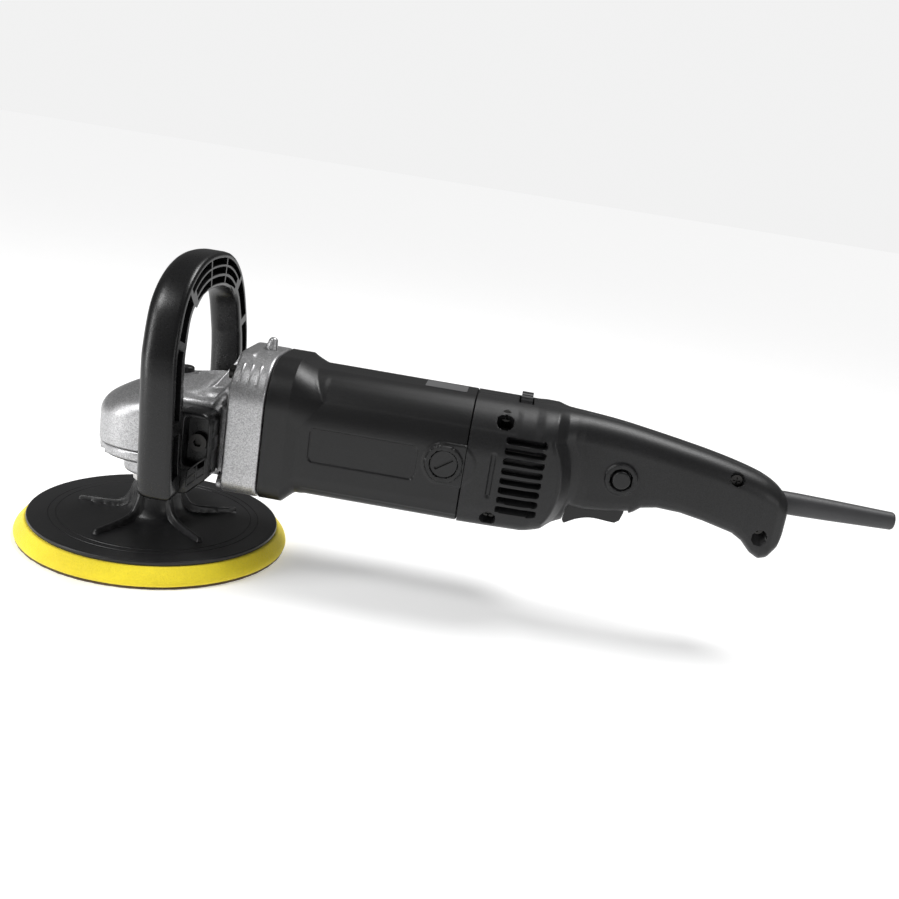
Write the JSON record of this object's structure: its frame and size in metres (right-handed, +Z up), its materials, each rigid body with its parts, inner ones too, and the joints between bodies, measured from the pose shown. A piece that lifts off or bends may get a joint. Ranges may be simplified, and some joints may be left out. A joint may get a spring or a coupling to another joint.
{
  "type": "rotary polisher",
  "caption": "Handheld car polisher: foam pad under a cast right-angle gear head with a loop handle, black motor housing and a rear trigger handle.",
  "frame": {"origin": "centre of the foam pad's working face, on the spindle axis", "axes": "+Z up the spindle, away from the work; +X along the motor axis towards the rear handle; -Y is the operator's left side, with the lock-on button"},
  "size_m": [0.57, 0.18, 0.199],
  "materials": {
    "hook_fabric": "woven hook cloth",
    "pad_foam": "open-cell polyurethane foam",
    "pad_plastic": "satin moulded",
    "steel": "turned and ground",
    "gear_steel": "cut and hardened",
    "screw_steel": "zinc plated",
    "spring_steel": "bright wire",
    "lamination_steel": "stacked sheet",
    "rubber_seal": "matt",
    "cast_aluminium": "fine blasted, slightly sparkling",
    "bush_brass": "machined",
    "winding_copper": "lacquered",
    "carbon": "pressed carbon",
    "fan_plastic": "moulded",
    "motor_plastic": "smooth satin",
    "handle_plastic": "fine spark texture",
    "loop_plastic": "satin",
    "trigger_plastic": "smooth satin",
    "button_plastic": "smooth satin",
    "cap_plastic": "smooth",
    "dial_plastic": "ribbed edge",
    "sleeve_rubber": "satin",
    "label_foil": "silver foil"
  },
  "bodies": {
    "tool": {"bearing_box": "cast_aluminium", "bearing_box_screws": "screw_steel", "spindle_bearing": "steel", "bearing_plate": "steel", "gear_housing": "cast_aluminium", "flange_screws": "screw_steel", "spindle_bush": "bush_brass", "spindle_lock_spring": "spring_steel", "front_bearing": "steel", "rear_bearing": "steel", "bearing_retainer": "steel", "baffle_plate": "fan_plastic", "stator_core": "lamination_steel", "field_coils": "winding_copper", "motor_housing": "motor_plastic", "rating_label": "label_foil", "brush_holders": "bush_brass", "carbon_brushes": "carbon", "brush_springs": "spring_steel", "brush_caps": "cap_plastic", "handle_left": "handle_plastic", "handle_right": "handle_plastic", "handle_screws": "screw_steel", "trigger_pin": "steel", "switch_body": "fan_plastic", "trigger_spring": "spring_steel", "lock_button_spring": "spring_steel", "speed_controller": "fan_plastic", "cord_sleeve": "sleeve_rubber", "cord_clamp": "fan_plastic", "cord_clamp_screws": "screw_steel", "loop_handle": "loop_plastic", "loop_bolts": "screw_steel", "loop_washers": "screw_steel"},
    "spindle_set": {"spindle": "steel", "dust_washer": "rubber_seal", "gear_retaining_ring": "steel", "bevel_gear": "gear_steel", "hub_insert": "steel", "backing_disc": "pad_plastic", "foam_pad": "pad_foam", "hook_layer": "hook_fabric"},
    "rotor": {"motor_shaft": "steel", "bevel_pinion": "gear_steel", "fan": "fan_plastic", "armature_core": "lamination_steel", "armature_windings": "winding_copper", "commutator": "winding_copper"},
    "lock_set": {"spindle_lock_pin": "steel", "spindle_lock_button": "button_plastic"},
    "trigger": {"trigger": "trigger_plastic"},
    "lock_on_button": {"lock_button": "button_plastic"},
    "dial": {"speed_dial": "dial_plastic"}
  },
  "joints": [
    {"name": "spindle_spin", "type": "hinge", "parent": "tool", "child": "spindle_set", "pos_m": [0, 0, 0], "axis": [0, 0, 1], "continuous": true},
    {"name": "motor_spin", "type": "hinge", "parent": "tool", "child": "rotor", "pos_m": [0, 0, 0.0984], "axis": [1, 0, 0], "continuous": true},
    {"name": "spindle_lock", "type": "slide", "parent": "tool", "child": "lock_set", "axis": [0, 0, -1], "range_m": [0, 0.004], "stiffness_N_per_m": 900, "springref_m": -0.003, "deforming": ["spindle_lock_spring"]},
    {"name": "trigger_squeeze", "type": "hinge", "parent": "tool", "child": "trigger", "pos_m": [0.279, 0, 0.093], "axis": [0, -1, 0], "range_deg": [0, 5], "stiffness_Nm_per_rad": 4, "springref_deg": -5.73, "deforming": ["trigger_spring"]},
    {"name": "lock_on_push", "type": "slide", "parent": "tool", "child": "lock_on_button", "axis": [0, 1, 0], "range_m": [0, 0.0026], "stiffness_N_per_m": 600, "springref_m": -0.002, "deforming": ["lock_button_spring"]},
    {"name": "speed_dial_turn", "type": "hinge", "parent": "tool", "child": "dial", "pos_m": [0.237, 0, 0.134], "axis": [1, 0, 0], "range_deg": [-140, 140]}
  ],
  "couplings": [
    {"joint": "motor_spin", "follows": "spindle_spin", "ratio": 4}
  ]
}
